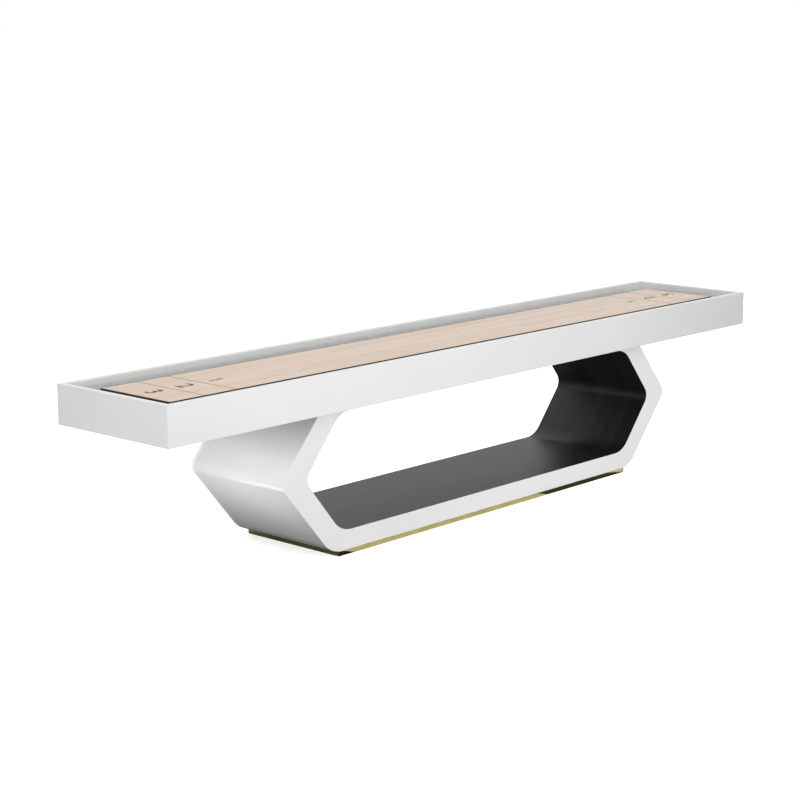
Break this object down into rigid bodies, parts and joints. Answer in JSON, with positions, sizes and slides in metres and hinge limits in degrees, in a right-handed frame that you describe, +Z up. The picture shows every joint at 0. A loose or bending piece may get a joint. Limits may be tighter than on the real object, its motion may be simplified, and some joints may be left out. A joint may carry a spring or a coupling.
{
  "type": "shuffleboard table",
  "caption": "Full-length shuffleboard table: a maple playfield in a gutter-edged cabinet, carried on a hollow six-sided ring base with a metal plinth.",
  "frame": {"origin": "on the floor under the centre of the table, midway along its length and width", "axes": "+X along the playfield, +Y across it, +Z up; the table is the same seen from either long side"},
  "size_m": [3.892, 0.646, 0.785],
  "materials": {
    "white_lacquer": "sprayed satin white lacquer over fibreboard",
    "dark_oak": "black-stained open-grain oak veneer, matt",
    "maple": "edge-glued maple strips under a clear hard gloss coat",
    "black_edge": "black-stained hardwood edge strip, satin",
    "grey_felt": "short light grey felt",
    "brass_plinth": "polished brass",
    "plywood": "unfinished birch plywood",
    "zinc_steel": "zinc-plated steel",
    "black_pad": "black moulded plastic"
  },
  "bodies": {
    "table": {"deck_left": "white_lacquer", "deck_right": "white_lacquer", "side_rail_front": "white_lacquer", "side_rail_rear": "white_lacquer", "end_rail_left": "white_lacquer", "end_rail_right": "white_lacquer", "face_panel_front": "white_lacquer", "face_panel_rear": "white_lacquer", "shell_left": "white_lacquer", "shell_right": "white_lacquer", "liner_left": "dark_oak", "liner_right": "dark_oak", "liner_floor": "dark_oak", "liner_ceiling": "dark_oak", "playfield_board": "maple", "edge_band_front": "black_edge", "edge_band_rear": "black_edge", "edge_band_left": "black_edge", "edge_band_right": "black_edge", "gutter_felt_front": "grey_felt", "gutter_felt_rear": "grey_felt", "gutter_felt_left": "grey_felt", "gutter_felt_right": "grey_felt", "plinth_bar_front": "brass_plinth", "plinth_bar_rear": "brass_plinth", "plinth_bar_left": "brass_plinth", "plinth_bar_right": "brass_plinth", "bearer_1": "plywood", "bearer_2": "plywood", "bearer_3": "plywood", "bearer_4": "plywood", "bottom_plate": "plywood", "top_plate": "plywood", "rib_bottom_left": "plywood", "rib_bottom_right": "plywood", "rib_top_left": "plywood", "rib_top_right": "plywood", "rib_waist_left": "plywood", "rib_waist_right": "plywood", "adjuster_bracket_front_left": "zinc_steel", "adjuster_bracket_rear_left": "zinc_steel", "adjuster_bracket_front_center": "zinc_steel", "adjuster_bracket_rear_center": "zinc_steel", "adjuster_bracket_front_right": "zinc_steel", "adjuster_bracket_rear_right": "zinc_steel", "tie_bolt_1": "zinc_steel", "tie_bolt_2": "zinc_steel", "tie_bolt_3": "zinc_steel", "tie_bolt_4": "zinc_steel"},
    "adjuster_screw_left": {"adjuster_bolt_left": "zinc_steel"},
    "adjuster_screw_center": {"adjuster_bolt_center": "zinc_steel"},
    "adjuster_screw_right": {"adjuster_bolt_right": "zinc_steel"},
    "leveller_pad_front_left": {"foot_pad_front_left": "black_pad"},
    "leveller_stem_front_left": {"foot_stem_front_left": "zinc_steel"},
    "leveller_pad_front_right": {"foot_pad_front_right": "black_pad"},
    "leveller_stem_front_right": {"foot_stem_front_right": "zinc_steel"},
    "leveller_pad_rear_left": {"foot_pad_rear_left": "black_pad"},
    "leveller_stem_rear_left": {"foot_stem_rear_left": "zinc_steel"},
    "leveller_pad_rear_right": {"foot_pad_rear_right": "black_pad"},
    "leveller_stem_rear_right": {"foot_stem_rear_right": "zinc_steel"}
  },
  "joints": [
    {"name": "adjuster_turn_left", "type": "hinge", "parent": "table", "child": "adjuster_screw_left", "pos_m": [-1.15, -0.188, 0.71315], "axis": [0, -1, 0], "range_deg": [-540, 540]},
    {"name": "adjuster_turn_center", "type": "hinge", "parent": "table", "child": "adjuster_screw_center", "pos_m": [0, -0.188, 0.71315], "axis": [0, -1, 0], "range_deg": [-540, 540]},
    {"name": "adjuster_turn_right", "type": "hinge", "parent": "table", "child": "adjuster_screw_right", "pos_m": [1.15, -0.188, 0.71315], "axis": [0, -1, 0], "range_deg": [-540, 540]},
    {"name": "leveller_travel_front_left", "type": "slide", "parent": "table", "child": "leveller_pad_front_left", "axis": [0, 0, -1], "range_m": [0, 0.014]},
    {"name": "leveller_turn_front_left", "type": "hinge", "parent": "leveller_pad_front_left", "child": "leveller_stem_front_left", "pos_m": [-0.88, -0.19, 0.04], "axis": [0, 0, 1], "range_deg": [0, 2881]},
    {"name": "leveller_travel_front_right", "type": "slide", "parent": "table", "child": "leveller_pad_front_right", "axis": [0, 0, -1], "range_m": [0, 0.014]},
    {"name": "leveller_turn_front_right", "type": "hinge", "parent": "leveller_pad_front_right", "child": "leveller_stem_front_right", "pos_m": [0.88, -0.19, 0.04], "axis": [0, 0, 1], "range_deg": [0, 2881]},
    {"name": "leveller_travel_rear_left", "type": "slide", "parent": "table", "child": "leveller_pad_rear_left", "axis": [0, 0, -1], "range_m": [0, 0.014]},
    {"name": "leveller_turn_rear_left", "type": "hinge", "parent": "leveller_pad_rear_left", "child": "leveller_stem_rear_left", "pos_m": [-0.88, 0.19, 0.04], "axis": [0, 0, 1], "range_deg": [0, 2881]},
    {"name": "leveller_travel_rear_right", "type": "slide", "parent": "table", "child": "leveller_pad_rear_right", "axis": [0, 0, -1], "range_m": [0, 0.014]},
    {"name": "leveller_turn_rear_right", "type": "hinge", "parent": "leveller_pad_rear_right", "child": "leveller_stem_rear_right", "pos_m": [0.88, 0.19, 0.04], "axis": [0, 0, 1], "range_deg": [0, 2881]}
  ],
  "couplings": [
    {"joint": "leveller_turn_front_left", "follows": "leveller_travel_front_left", "rad_per_m": 3590.4},
    {"joint": "leveller_turn_front_right", "follows": "leveller_travel_front_right", "rad_per_m": 3590.4},
    {"joint": "leveller_turn_rear_left", "follows": "leveller_travel_rear_left", "rad_per_m": 3590.4},
    {"joint": "leveller_turn_rear_right", "follows": "leveller_travel_rear_right", "rad_per_m": 3590.4}
  ]
}
